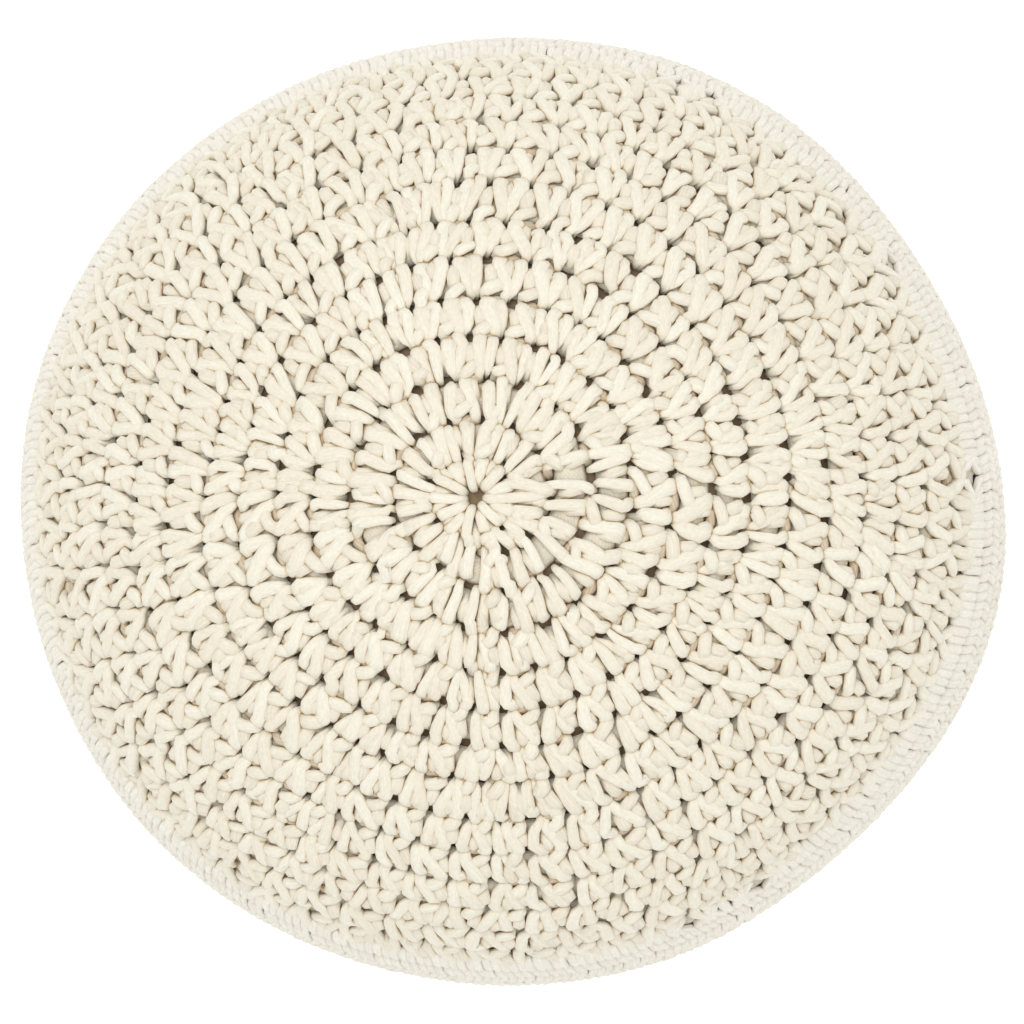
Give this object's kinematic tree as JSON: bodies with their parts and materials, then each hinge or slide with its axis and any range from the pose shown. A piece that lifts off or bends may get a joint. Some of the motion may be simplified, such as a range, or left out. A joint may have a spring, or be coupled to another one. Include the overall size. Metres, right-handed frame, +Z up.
{
  "type": "macrame pouf",
  "caption": "Round filled floor pouf of cream cotton cord: domed top crocheted in rounds, ribbed wall of knotted rows, and a crocheted underside with a flat foot.",
  "frame": {"origin": "middle of the flat underside, on the floor it stands on", "axes": "+Z up through the middle of the crocheted top; +X is close to the slightly longer way across, +Y the slightly shorter way"},
  "size_m": [0.46, 0.4421, 0.2997],
  "materials": {
    "crochet_cord": "undyed cream cotton cord, matt and softly fibrous, crocheted in thick rounded strands with dark gaps between the stitches",
    "macrame_cord": "undyed cream cotton cord, matt, knotted in close upright ribs, row on row"
  },
  "bodies": {
    "root": {"crochet_top": "crochet_cord", "macrame_side": "macrame_cord", "crochet_base": "crochet_cord"}
  },
  "joints": []
}
